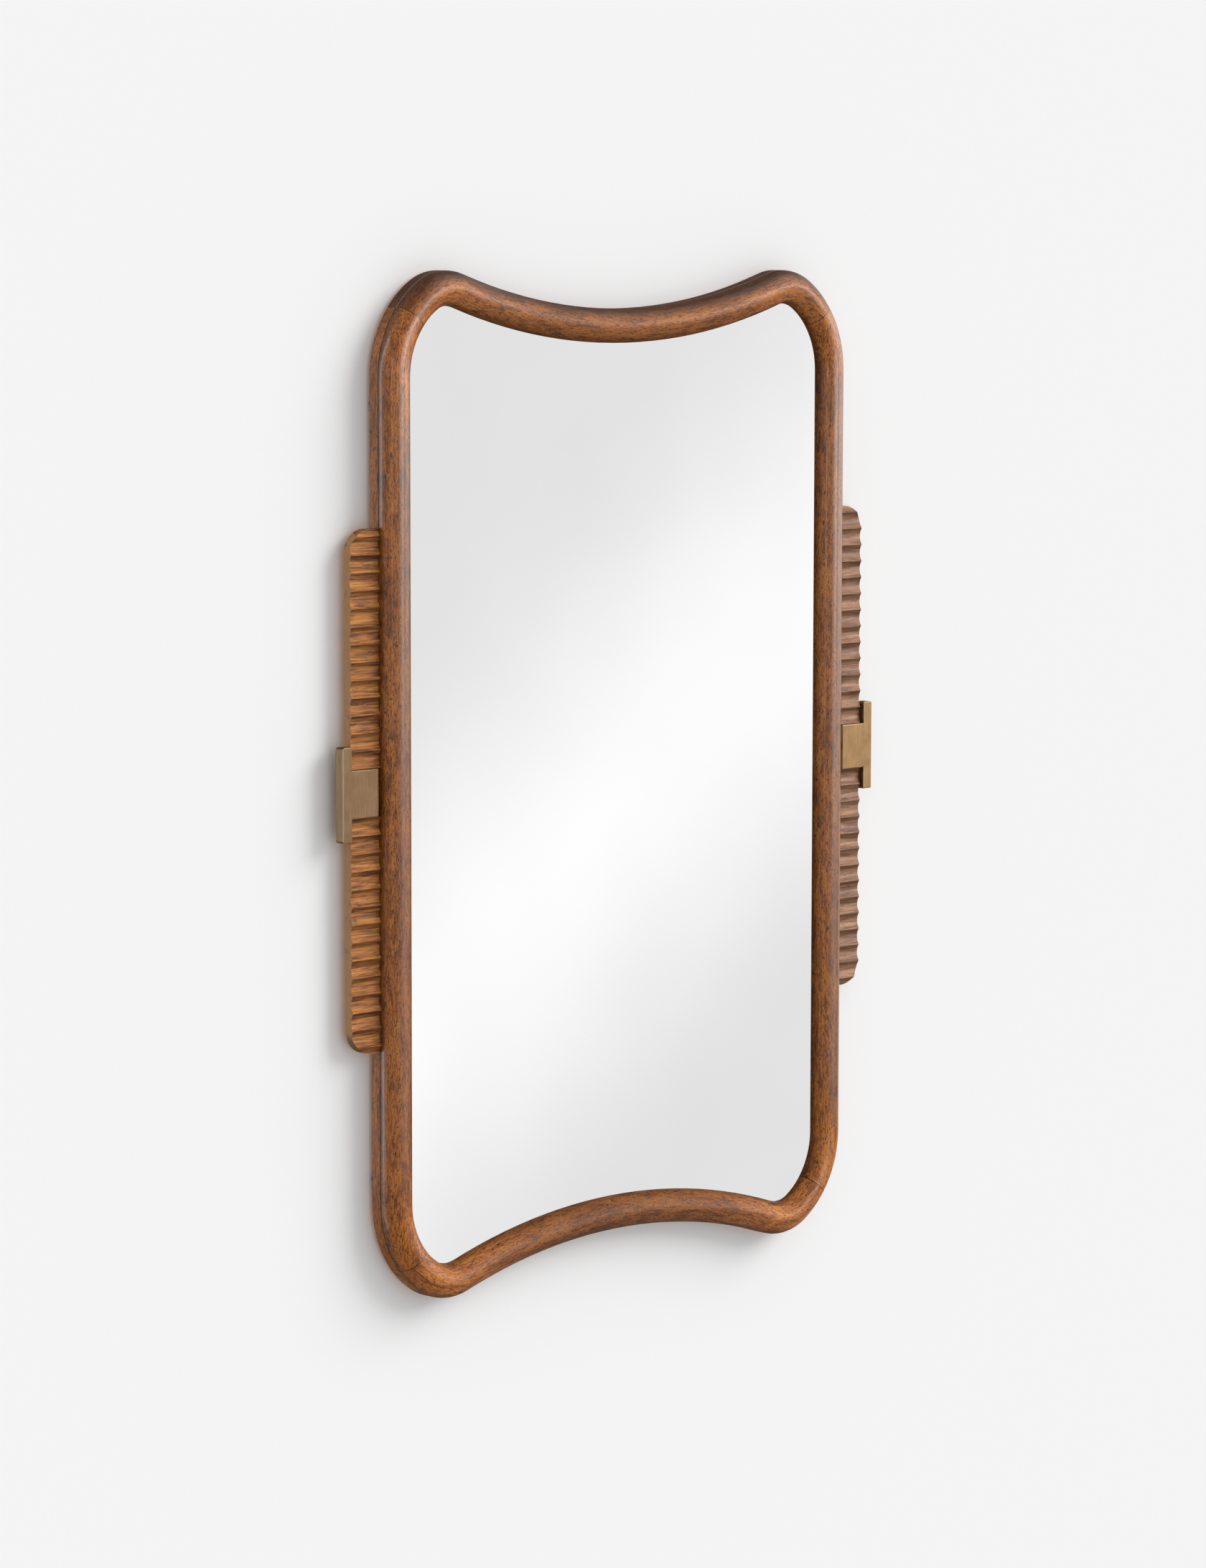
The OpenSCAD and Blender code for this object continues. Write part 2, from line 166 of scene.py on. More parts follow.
# %% [markdown]
# ## The wall
#
# A mirror hangs, so its floor is a wall: a plain painted plane just behind the rubber bumpers. It
# takes the soft shadow that shows how far the frame stands off it. Only the side that faces the
# room is painted. From behind, the wall is clear, so the back of the mirror can be looked at too,
# and for the same reason the wall is left out of the light that reaches the back.

# %% Make the wall
WALL_SIZE = 7.0
WALL_COLOUR = linear("#f6f6f6")

bpy.ops.object.select_all(action="DESELECT")
bpy.ops.mesh.primitive_plane_add(size=WALL_SIZE, rotation=(math.radians(90), 0, 0))
wall = bpy.context.object
wall.name = "wall"
bpy.ops.object.transform_apply(rotation=True)
wall.visible_diffuse = False
wall.visible_glossy = False
wall.visible_shadow = False

paint, tree, skin = start_material("matt_wall_paint")
skin.inputs["Base Color"].default_value = WALL_COLOUR
skin.inputs["Roughness"].default_value = 1.0
skin.inputs["Specular IOR Level"].default_value = 0.0
behind = add(tree, "NewGeometry").outputs["Backfacing"]
clear = add(tree, "BsdfTransparent").outputs[0]
either = add(tree, "MixShader", {0: behind, 1: skin.outputs[0], 2: clear})
tree.links.new(either.outputs[0], tree.nodes["Material Output"].inputs["Surface"])
dress(wall, paint)
print("wall faces", wall.data.polygons[0].normal[:])

# %% [markdown]
# ## The studio light
#
# The photograph has soft light all round, more of it from the upper right, so that the frame's
# shadow falls to the left and downwards. One broad sun stands for the large lamp. Its softness is
# an angle: the wider the lamp, the softer the shadow's edge. The sun is kept out of reflections,
# because a sharp disc in the lacquer would give the lamp away.

# %% Light the studio: the lamp
KEY_FROM = Vector((0.69, -0.49, 0.52)).normalized()
KEY_STRENGTH = 1.85
KEY_SOFTNESS = math.radians(36)

key_data = bpy.data.lights.new("key", "SUN")
key_data.energy = KEY_STRENGTH
key_data.angle = KEY_SOFTNESS
key = bpy.data.objects.new("key", key_data)
key.rotation_euler = KEY_FROM.to_track_quat("Z", "Y").to_euler()
key.visible_glossy = False
scene.collection.objects.link(key)
print("the lamp shines from", [round(v, 2) for v in KEY_FROM])

# %% [markdown]
# The world is the rest of the studio. It answers each kind of ray in its own way, as flags and
# reflectors do in a real studio: they shape the gleams and hardly change the soft light. The camera
# sees the white of the wall. Matt surfaces see a pale room that is brighter above and on the right.
# Each table below holds levels of light, from the left to the right or from below to above.

# %% Light the studio: what matt surfaces see
SOFT_LEVELS = ((0.0, 0.42), (0.35, 0.62), (0.6, 0.76), (1.0, 0.94))
SOFT_BELOW = 0.76
SOFT_ABOVE = 1.24


def grey(level):
    """A light level as a colour."""
    return (level, level, level, 1.0)


def greys(levels):
    """A table of places and light levels, as the stops of a colour ramp."""
    return [(place, grey(level)) for place, level in levels]


world = bpy.data.worlds.new("studio")
scene.world = world
world.use_nodes = True
tree = world.node_tree
tree.nodes.clear()
toward = add(tree, "TexCoord").outputs["Generated"]
split = add(tree, "SeparateXYZ", {0: toward})
share = add(tree, "MapRange", {0: split.outputs["X"], 1: -1.0, 2: 1.0, 3: 0.0, 4: 1.0}).outputs[0]
soft = add(tree, "ValToRGB", {0: share}, stops=greys(SOFT_LEVELS)).outputs[0]
upper = add(tree, "MapRange", {0: split.outputs["Z"], 1: -1.0, 2: 1.0, 3: SOFT_BELOW, 4: SOFT_ABOVE}).outputs[0]
soft = add(tree, "VectorMath", {0: soft, 1: upper}, operation="MULTIPLY").outputs[0]
print("soft light from", SOFT_LEVELS[0][1], "on the left to", SOFT_LEVELS[-1][1], "on the right")

# %% [markdown]
# Lacquer and metal see more of the room's shape: a long lit panel at eye height on the right, with
# dark cloth above and below it, and slender reflectors on the far left and behind, which draw the
# fine bright lines on the arrises of the brass. Straight in front there is a pale opening, which
# the glass shows when it is looked at squarely.

# %% Light the studio: what lacquer and metal see
SIDE_LEVELS = ((0.0, 0.35), (0.125, 0.35), (0.138, 2.6), (0.158, 2.6), (0.17, 0.35), (0.43, 0.15), (0.52, 0.8),
               (0.60, 2.2), (0.69, 4.2), (0.80, 5.4), (0.89, 3.8), (0.96, 2.4), (1.0, 1.5))
HEIGHT_LEVELS = ((0.0, 0.05), (0.440, 0.08), (0.475, 1.0), (0.56, 1.0), (0.64, 0.35), (0.78, 0.22), (1.0, 0.12))
BEHIND_LEVELS = ((0.0, 0.6), (0.045, 0.7), (0.055, 3.4), (0.085, 3.4), (0.10, 0.4), (0.15, 0.35), (0.5, 0.10),
                 (0.85, 0.12), (0.97, 0.70), (1.0, 0.90))
BEHIND_FROM = 0.12
OPENING_RIM = -math.cos(math.radians(28))
OPENING_CORE = -math.cos(math.radians(12))
OPENING_LEVELS = (0.10, 0.45)

aside = add(tree, "ValToRGB", {0: share}, stops=greys(SIDE_LEVELS)).outputs[0]
height = add(tree, "MapRange", {0: split.outputs["Z"], 1: -1.0, 2: 1.0, 3: 0.0, 4: 1.0}).outputs[0]
height = add(tree, "ValToRGB", {0: height}, stops=greys(HEIGHT_LEVELS)).outputs[0]
front = add(tree, "VectorMath", {0: aside, 1: height}, operation="MULTIPLY").outputs[0]
ahead = {0: split.outputs["Y"], 1: OPENING_RIM, 2: OPENING_CORE, 3: OPENING_LEVELS[0], 4: OPENING_LEVELS[1]}
ahead = add(tree, "MapRange", ahead, interpolation_type=SOFT_STEP).outputs[0]
front = add(tree, "VectorMath", {0: front, 1: ahead}, operation="MAXIMUM").outputs[0]
back = add(tree, "ValToRGB", {0: share}, stops=greys(BEHIND_LEVELS)).outputs[0]
inward = {0: split.outputs["Y"], 1: 0.0, 2: BEHIND_FROM, 3: 0.0, 4: 1.0}
inward = add(tree, "MapRange", inward, interpolation_type=SOFT_STEP).outputs[0]
gloss = add(tree, "Mix", {0: inward, 6: front, 7: back}, data_type="RGBA").outputs[2]
print("brightest panel", max(level for place, level in SIDE_LEVELS))

# %% [markdown]
# From the photograph's side the glass shows an even grey with one bright diagonal band. The band is
# laid through two points of the glass, by turning the camera's view round at them as the mirror
# does. Light that has been mirrored once already is dimmed, since the photograph shows only a trace
# of such second gleams along the inner edge of the frame.

# %% Light the studio: what the glass shows
BAND_LOW = (-0.177, -0.148)
BAND_HIGH = (0.239, 0.131)
BAND_REACH = 0.060
BAND_LEVEL = 1.08
PANE_LEVEL = 0.845
PANE_RIM = math.cos(math.radians(11))
PANE_CORE = math.cos(math.radians(7.5))
SECOND_GLEAM = 0.15
glass_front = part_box("mirror_glass")[0].y


def seen_in_glass(x, z):
    """The direction in which the camera looks once the glass at (x, z) has turned its view round."""
    ray = Vector((x, glass_front, z)) - CAMERA_AT
    return Vector((ray.x, -ray.y, ray.z)).normalized()


band_side = seen_in_glass(*BAND_LOW).cross(seen_in_glass(*BAND_HIGH)).normalized()
off_band = add(tree, "VectorMath", {0: toward, 1: band_side}, operation="DOT_PRODUCT").outputs["Value"]
distance = add(tree, "Math", {0: off_band}, operation="ABSOLUTE").outputs[0]
pane = {0: distance, 1: 0.0, 2: BAND_REACH, 3: BAND_LEVEL, 4: PANE_LEVEL}
pane = add(tree, "MapRange", pane, interpolation_type=SOFT_STEP).outputs[0]
to_pane = add(tree, "VectorMath", {0: toward, 1: seen_in_glass(0, 0)}, operation="DOT_PRODUCT").outputs["Value"]
near_pane = {0: to_pane, 1: PANE_RIM, 2: PANE_CORE, 3: 0.0, 4: 1.0}
near_pane = add(tree, "MapRange", near_pane, interpolation_type=SOFT_STEP).outputs[0]
gloss = add(tree, "Mix", {0: near_pane, 6: gloss, 7: pane}, data_type="RGBA").outputs[2]
print("light band plane", [round(v, 3) for v in band_side])

# %% [markdown]
# The three answers are joined last. The Light Path node tells which kind of ray asks: camera rays
# get the white of the wall, glossy rays the panels, and all others the pale room. It also counts
# how often a ray has been mirrored, which dims the second gleams. A plain background shader then
# lights the scene with the result.

# %% Light the studio: join the three answers
# Between the first mirroring and the second, as the Light Path node counts them.
MIRRORINGS = (1.2, 1.8)

path = add(tree, "LightPath")
again = {0: path.outputs["Glossy Depth"], 1: MIRRORINGS[0], 2: MIRRORINGS[1], 3: 1.0, 4: SECOND_GLEAM}
again = add(tree, "MapRange", again, interpolation_type=SOFT_STEP).outputs[0]
gloss = add(tree, "VectorMath", {0: gloss, 1: again}, operation="MULTIPLY").outputs[0]
lit = add(tree, "Mix", {0: path.outputs["Is Glossy Ray"], 6: soft, 7: gloss}, data_type="RGBA").outputs[2]
shown = {0: path.outputs["Is Camera Ray"], 6: lit, 7: WALL_COLOUR}
shown = add(tree, "Mix", shown, data_type="RGBA").outputs[2]
sky = add(tree, "Background", {"Color": shown})
add(tree, "OutputWorld", {"Surface": sky.outputs[0]})
scene.view_settings.view_transform = "Standard"
print("nodes in the studio", len(tree.nodes))

# %% [markdown]
# ## Stained and glazed wood
#
# The moulding is a hardwood such as rubberwood, turned warm brown by a stain, then wiped with a
# dark glaze and closed with a satin lacquer. A photograph of wood could be wrapped round the
# pieces, but it would stretch on the curves. A solid texture is carved through instead, as in real
# timber: noise that is stretched along the grain, measured in millimetres. Each member has its own
# grain direction: the stiles along their length, the wings across, and the rails along their sweep.
# To follow that sweep, the height across a rail is measured from its curve: a parabola for the
# hollow middle and another, turned over, for each ear.

# %% Wood: the grain's coordinates
HOLLOW_R = mm(668.9)
EAR_R = mm(64)
EAR_SLOPE = math.radians(18.6)
HOLLOW_END = HOLLOW_R * math.sin(EAR_SLOPE)
EAR_PEAK = HOLLOW_END + EAR_R * math.sin(EAR_SLOPE)
EAR_RISE = HOLLOW_END ** 2 / (2 * HOLLOW_R) + (EAR_PEAK - HOLLOW_END) ** 2 / (2 * EAR_R)
GRAIN_ROUGHNESS = 0.6


def grain_space(tree, along, sweep, place):
    """Coordinates that run along the grain, across it and into the wood, in metres."""
    at = add(tree, "TexCoord").outputs["Object"]
    split = add(tree, "SeparateXYZ", {0: at})
    length, across = split.outputs[along], split.outputs["Z" if along == "X" else "X"]
    if sweep:
        far = add(tree, "Math", {0: length}, operation="ABSOLUTE").outputs[0]
        hollow = add(tree, "Math", {0: far, 1: 2.0}, operation="POWER").outputs[0]
        hollow = add(tree, "Math", {0: hollow, 1: 2 * HOLLOW_R}, operation="DIVIDE").outputs[0]
        past = add(tree, "Math", {0: far, 1: EAR_PEAK}, operation="SUBTRACT").outputs[0]
        ear = add(tree, "Math", {0: past, 1: 2.0}, operation="POWER").outputs[0]
        ear = add(tree, "Math", {0: ear, 1: -1 / (2 * EAR_R), 2: EAR_RISE}, operation="MULTIPLY_ADD").outputs[0]
        on_ear = add(tree, "Math", {0: far, 1: HOLLOW_END}, operation="GREATER_THAN").outputs[0]
        rise = add(tree, "Mix", {0: on_ear, 2: hollow, 3: ear}, data_type="FLOAT").outputs[0]
        across = add(tree, "Math", {0: rise, 1: -sweep, 2: across}, operation="MULTIPLY_ADD").outputs[0]
    space = add(tree, "CombineXYZ", {0: length, 1: across, 2: split.outputs["Y"]}).outputs[0]
    return add(tree, "Mapping", {"Vector": space, "Location": place}).outputs[0], split


def grain_noise(tree, space, length, width, detail, twist=0.0):
    """Noise whose spots are so long and wide, in millimetres, along and across the grain."""
    size = Vector((1 / mm(length), 1 / mm(width), 1 / mm(width)))
    scaled = add(tree, "VectorMath", {0: space, 1: size}, operation="MULTIPLY").outputs[0]
    sockets = {"Vector": scaled, "Scale": 1.0, "Detail": detail,
               "Roughness": GRAIN_ROUGHNESS, "Distortion": twist}
    return add(tree, "TexNoise", sockets).outputs[0]


print("hollow ends at", round(1000 * HOLLOW_END, 1), "mm, ear peaks at", round(1000 * EAR_PEAK, 1), "mm")

# %% [markdown]
# The colours are laid on as in the workshop, one over the other. First comes the stained ground,
# with its broad figure, fine streaks and dark pores. The moulding's wood is close, the wings' is
# open and streaked, so each has its own table of sizes, along and across the grain. A pore of such
# wood is about 0.2 mm wide. It is drawn about 1 mm wide here, so that it shows at five metres. A
# few larger flecks are spots where the glaze caught in a dent.

# %% Wood: the stained ground
PORE = linear("#3a1d08")
BROWN_PLACES = (0.41, 0.50, 0.59)
MOULDING = {"figure": (48, 10), "streak": (10, 1.5), "pore": (3.6, 0.9), "filled": 0.9}
WING = {"figure": (45, 5), "streak": (40, 2.0), "pore": (22, 0.9), "filled": 0.5}
FLECK = (9, 4)
FIGURE_TWIST = 0.9
FLECK_TWIST = 0.6
PORES_FROM = (0.56, 0.62)
FLECKS_FROM = (0.70, 0.74)


def stained_ground(tree, space, sizes, browns):
    """Stained wood with its figure, streaks and pores. Returns its colour, streaks and pores."""
    figure = grain_noise(tree, space, *sizes["figure"], 4.0, FIGURE_TWIST)
    streak = grain_noise(tree, space, *sizes["streak"], 3.0)
    both = add(tree, "Math", {0: figure, 1: 0.5}, operation="MULTIPLY").outputs[0]
    both = add(tree, "Math", {0: streak, 1: 0.5, 2: both}, operation="MULTIPLY_ADD").outputs[0]
    stops = [(place, linear(brown)) for place, brown in zip(BROWN_PLACES, browns)]
    colour = add(tree, "ValToRGB", {0: both}, stops=stops).outputs[0]
    pore = grain_noise(tree, space, *sizes["pore"], 2.0)
    pore = {0: pore, 1: PORES_FROM[0], 2: PORES_FROM[1], 3: 0.0, 4: sizes["filled"]}
    pore = add(tree, "MapRange", pore).outputs[0]
    fleck = grain_noise(tree, space, *FLECK, 1.0, FLECK_TWIST)
    fleck = {0: fleck, 1: FLECKS_FROM[0], 2: FLECKS_FROM[1], 3: 0.0, 4: sizes["filled"]}
    fleck = add(tree, "MapRange", fleck, interpolation_type=SOFT_STEP).outputs[0]
    pore = add(tree, "Math", {0: pore, 1: fleck}, operation="MAXIMUM").outputs[0]
    colour = add(tree, "Mix", {0: pore, 6: colour, 7: PORE}, data_type="RGBA").outputs[2]
    return colour, streak, pore


print("pores of the moulding are drawn", MOULDING["pore"], "mm large, those of the wings", WING["pore"], "mm")

# %% [markdown]
# Where the glaze lies is worked out from the shape. On every piece it stays as broad clouds that
# the cloth left. In corners, which ambient occlusion finds, the darkening is glaze that pools there
# and painted shade. Where two kinds of darkening meet, the stronger one wins, so that they don't add
# up to black.

# %% Wood: the glaze and the painted corner shade on every piece
# The dark brown of the glaze, which the painted shade uses as well.
GLAZE_AND_SHADE = linear("#2a170b")
CLOUD = (24, 11)
CLOUDS_FROM = (0.57, 0.75)
CLOUD_GLAZE = 0.75
CORNER = mm(12)
OPENNESS = (0.12, 0.45)
CORNER_GLAZE_AND_SHADE = 0.8


def glaze_and_corner_shade(tree, space):
    """The share of glaze and painted corner shade on any piece, and the clouds that the glaze follows."""
    mottle = grain_noise(tree, space, *CLOUD, 4.0)
    clouds = {0: mottle, 1: CLOUDS_FROM[0], 2: CLOUDS_FROM[1], 3: 0.0, 4: CLOUD_GLAZE}
    clouds = add(tree, "MapRange", clouds, interpolation_type=SOFT_STEP).outputs[0]
    # Ambient occlusion darkens the corners: glaze that pools there, and painted shade.
    pooled_glaze_and_shade = add(tree, "AmbientOcclusion", {"Distance": CORNER}, samples=8).outputs["AO"]
    pooled_glaze_and_shade = {0: pooled_glaze_and_shade, 1: OPENNESS[0], 2: OPENNESS[1], 3: CORNER_GLAZE_AND_SHADE, 4: 0.0}
    pooled_glaze_and_shade = add(tree, "MapRange", pooled_glaze_and_shade, interpolation_type=SOFT_STEP).outputs[0]
    return add(tree, "Math", {0: clouds, 1: pooled_glaze_and_shade}, operation="MAXIMUM").outputs[0], mottle


print("glaze clouds are", CLOUD, "mm large")

# %% [markdown]
# The moulding holds more of it. Down the flanks of the half round the wood grows darker, with a
# ragged edge that follows the clouds: glaze, and painted shade that leaves the crown brightest. The
# flat sides below it keep a quarter of that, except where they look up. Faces that look straight up
# or down are darker as well, and the top of the upper rail is darkest, with painted shade against
# the light from above. Depth is measured from the wall: the back lies at 5 mm and the crown at 36 mm.
# Which way a face looks is read from its normal.

# %% Wood: the glaze and painted shade on the moulding
# The clouds move the glaze's edge by up to 4 mm to either side of these two depths.
RAGGED = mm(8)
FALLING = (mm(4 - 29), mm(4 - 18))
FLANK_GLAZE_AND_SHADE = 0.65
FLAT_SIDE = (-mm(19), -mm(16))
FLAT_SIDE_SHARE = 0.25
UPRIGHT_DARKENING = 0.55
TOP_SHADE = 0.84


def flank_glaze_and_shade(tree, split, facing, mottle):
    """Glaze and painted shade that grow down the flanks of the half round, and a share on the flat sides."""
    depth = {0: mottle, 1: RAGGED, 2: split.outputs["Y"]}
    depth = add(tree, "Math", depth, operation="MULTIPLY_ADD").outputs[0]
    # Glaze and painted shade: the flanks darken towards the wall, so that the crown stays brightest.
    falling = {0: depth, 1: FALLING[0], 2: FALLING[1], 3: 0.0, 4: FLANK_GLAZE_AND_SHADE}
    falling = add(tree, "MapRange", falling, interpolation_type=SOFT_STEP).outputs[0]
    flat = {0: facing.outputs["Z"], 1: 0.5, 2: 0.95, 3: FLAT_SIDE_SHARE, 4: 1.0}
    flat = add(tree, "MapRange", flat, interpolation_type=SOFT_STEP).outputs[0]
    side = {0: split.outputs["Y"], 1: FLAT_SIDE[0], 2: FLAT_SIDE[1], 3: 1.0, 4: flat}
    side = add(tree, "MapRange", side).outputs[0]
    return add(tree, "Math", {0: falling, 1: side}, operation="MULTIPLY").outputs[0]


def upright_darkening_and_top_shade(tree, facing, crest):
    """Darker faces that look up or down, and painted shade on top of the upper rail."""
    upright = add(tree, "Math", {0: facing.outputs["Z"]}, operation="ABSOLUTE").outputs[0]
    upright = {0: upright, 1: 0.70, 2: 0.97, 3: 0.0, 4: UPRIGHT_DARKENING}
    upright = add(tree, "MapRange", upright, interpolation_type=SOFT_STEP).outputs[0]
    if not crest:
        return upright
    # Painted shade: the top of the upper rail is darkened to tone down the light from above.
    top = {0: facing.outputs["Z"], 1: 0.0, 2: 0.85, 3: 0.0, 4: TOP_SHADE}
    top = add(tree, "MapRange", top, interpolation_type=SOFT_STEP).outputs[0]
    return add(tree, "Math", {0: upright, 1: top}, operation="MAXIMUM").outputs[0]


print("flat sides reach", round(-1000 * FLAT_SIDE[1], 1), "mm off the wall")

# %% [markdown]
# The joint between rail and stile slants at 38 degrees, under each upper ear and over each lower
# one, and glaze has caught in it. Such a line is found by distance: the shader works out how far
# each point lies from it, and the four joints become one by taking the places without their signs.
# Each member is also darker in the middle, and this fades out towards its ends. On the stiles it is
# painted shade, kept on the crown and the right flank where the lamp falls, and faded out on the left.

# %% Wood: the glaze at the joints, and the darker middle
JOINT_TURN = math.radians(38)
JOINT_AT = (mm(209), mm(404.27))
JOINT_LINE = (mm(0.25), mm(0.7))
JOINT_GLAZE = 0.85
# How far the normal turns sideways while the stiles' painted shade fades in, from the left flank to the crown.
SHADED_FLANK = (-0.75, -0.05)


def joint_glaze(tree, split):
    """A fine dark line along the four glued joints."""
    wide = add(tree, "Math", {0: split.outputs["X"]}, operation="ABSOLUTE").outputs[0]
    high = add(tree, "Math", {0: split.outputs["Z"]}, operation="ABSOLUTE").outputs[0]
    run = {0: wide, 1: -math.sin(JOINT_TURN), 2: JOINT_AT[0] * math.sin(JOINT_TURN)}
    run = add(tree, "Math", run, operation="MULTIPLY_ADD").outputs[0]
    rise = {0: high, 1: math.cos(JOINT_TURN), 2: -JOINT_AT[1] * math.cos(JOINT_TURN)}
    rise = add(tree, "Math", rise, operation="MULTIPLY_ADD").outputs[0]
    off = add(tree, "Math", {0: run, 1: rise}).outputs[0]
    off = add(tree, "Math", {0: off}, operation="ABSOLUTE").outputs[0]
    seam = {0: off, 1: JOINT_LINE[0], 2: JOINT_LINE[1], 3: JOINT_GLAZE, 4: 0.0}
    return add(tree, "MapRange", seam, interpolation_type=SOFT_STEP).outputs[0]


def darker_middle(tree, split, facing, along, fade, heavy, sweep):
    """A darker middle that fades out towards a member's ends, and on the stiles is painted shade."""
    far = add(tree, "Math", {0: split.outputs[along]}, operation="ABSOLUTE").outputs[0]
    middle = {0: far, 1: mm(fade[0]), 2: mm(fade[1]), 3: heavy, 4: 0.0}
    middle = add(tree, "MapRange", middle, interpolation_type=SOFT_STEP).outputs[0]
    if sweep:
        return middle
    # On the stiles the darkening is painted shade: it is kept on the crown and the right flank, where the lamp
    # falls.
    right_flank_shade = {0: facing.outputs["X"], 1: SHADED_FLANK[0], 2: SHADED_FLANK[1], 3: 0.0, 4: 1.0}
    right_flank_shade = add(tree, "MapRange", right_flank_shade, interpolation_type=SOFT_STEP).outputs[0]
    return add(tree, "Math", {0: middle, 1: right_flank_shade}, operation="MULTIPLY").outputs[0]


print("joints slant at", round(math.degrees(JOINT_TURN)), "degrees")

# %% [markdown]
# The lacquer has two layers. The lower one follows the fine sanding marks, which run along the
# grain, so it draws a gleam out across the stiles. The upper one is the shader's coat. It is
# thickest on the straight stiles and nearly rubbed away in the middle of the rails. The corners
# lie in between, and the upper ones have more of it than the lower ones. Both layers are satin, so
# their roughness is well above that of a polished one. Pores are left a little open, so they also
# make small dents.

# %% Wood: the lacquer
LACQUER_IOR = 1.5
COAT_IOR = 1.65
COAT_ROUGHNESS = 0.20
ROUGHNESS_PLAY = 0.05
SANDED = 0.6
PORE_DEPTH = mm(0.15)
CORNER_COAT = 0.2
UPPER_COAT = {"stile": 0.65, "rail": 0.45}
COAT_TURN = mm(100)
# Noise hardly ever leaves this span, so a surface is mapped from it.
NOISE_SPAN = (0.3, 0.7)


def lacquer(tree, skin, colour, streak, pore, rough):
    """Satin lacquer over a colour, a little uneven along the streaks and dented at the pores."""
    dull = {0: streak, 1: NOISE_SPAN[0], 2: NOISE_SPAN[1], 3: rough - ROUGHNESS_PLAY, 4: rough + ROUGHNESS_PLAY}
    dull = add(tree, "MapRange", dull).outputs[0]
    dent = add(tree, "Math", {0: pore, 1: -1.0}, operation="MULTIPLY").outputs[0]
    bump = add(tree, "Bump", {"Height": dent, "Distance": PORE_DEPTH, "Strength": 0.5}).outputs[0]
    tree.links.new(colour, skin.inputs["Base Color"])
    tree.links.new(dull, skin.inputs["Roughness"])
    tree.links.new(bump, skin.inputs["Normal"])
    skin.inputs["IOR"].default_value = LACQUER_IOR
    skin.inputs["Coat IOR"].default_value = COAT_IOR
    skin.inputs["Coat Roughness"].default_value = COAT_ROUGHNESS


def moulding_coat(tree, skin, split, normal, along, sweep, coat, fade):
    """The sanding's direction, and a coat that changes towards the corners."""
    grain = (1.0, 0.0, 0.0) if along == "X" else (0.0, 0.0, 1.0)
    across = add(tree, "VectorMath", {0: normal, 1: grain}, operation="CROSS_PRODUCT").outputs[0]
    tree.links.new(across, skin.inputs["Tangent"])
    skin.inputs["Anisotropic"].default_value = 0.0 if sweep else SANDED
    reach = add(tree, "Math", {0: split.outputs[along]}, operation="ABSOLUTE").outputs[0]
    upper = UPPER_COAT["rail" if sweep else "stile"]
    corner = {0: split.outputs["Z"], 1: -COAT_TURN, 2: COAT_TURN, 3: CORNER_COAT, 4: upper}
    corner = add(tree, "MapRange", corner, interpolation_type=SOFT_STEP).outputs[0]
    gleam = {0: reach, 1: mm(fade[0]), 2: mm(fade[1]), 3: coat, 4: corner}
    gleam = add(tree, "MapRange", gleam, interpolation_type=SOFT_STEP).outputs[0]
    tree.links.new(gleam, skin.inputs["Coat Weight"])


print("coat at the corners", CORNER_COAT, "below and", UPPER_COAT, "above")

# %% [markdown]
# Two functions now put the layers together: one for the moulding and one for the wings. The wings'
# faces that look sideways are paler, and the undersides of their flutes are darkened with painted
# shade.

# %% Wood: the two kinds of piece
PALE_SIDE = linear("#b98a5e")
PALE_SIDE_SHARE = 0.85
UNDERSIDE_SHADE = 0.55
RAIL_FADE = (90, 250)
STILE_FADE = (330, 430)


def moulding_wood(name, along, place, browns, rough, coat, heavy, sweep=0, fade=RAIL_FADE):
    """Stained, glazed and lacquered hardwood with painted shade, its grain along one member of the frame."""
    material, tree, skin = start_material(name)
    space, split = grain_space(tree, along, sweep, place)
    colour, streak, pore = stained_ground(tree, space, MOULDING, browns)
    normal = add(tree, "NewGeometry").outputs["Normal"]
    facing = add(tree, "SeparateXYZ", {0: normal})
    glaze, mottle = glaze_and_corner_shade(tree, space)
    more = (flank_glaze_and_shade(tree, split, facing, mottle), upright_darkening_and_top_shade(tree, facing, sweep > 0),
            joint_glaze(tree, split), darker_middle(tree, split, facing, along, fade, heavy, sweep))
    for layer in more:
        glaze = add(tree, "Math", {0: glaze, 1: layer}, operation="MAXIMUM").outputs[0]
    # The dark brown goes on wherever glaze or painted shade lies.
    colour = add(tree, "Mix", {0: glaze, 6: colour, 7: GLAZE_AND_SHADE}, data_type="RGBA").outputs[2]
    lacquer(tree, skin, colour, streak, pore, rough)
    moulding_coat(tree, skin, split, normal, along, sweep, coat, fade)
    return material


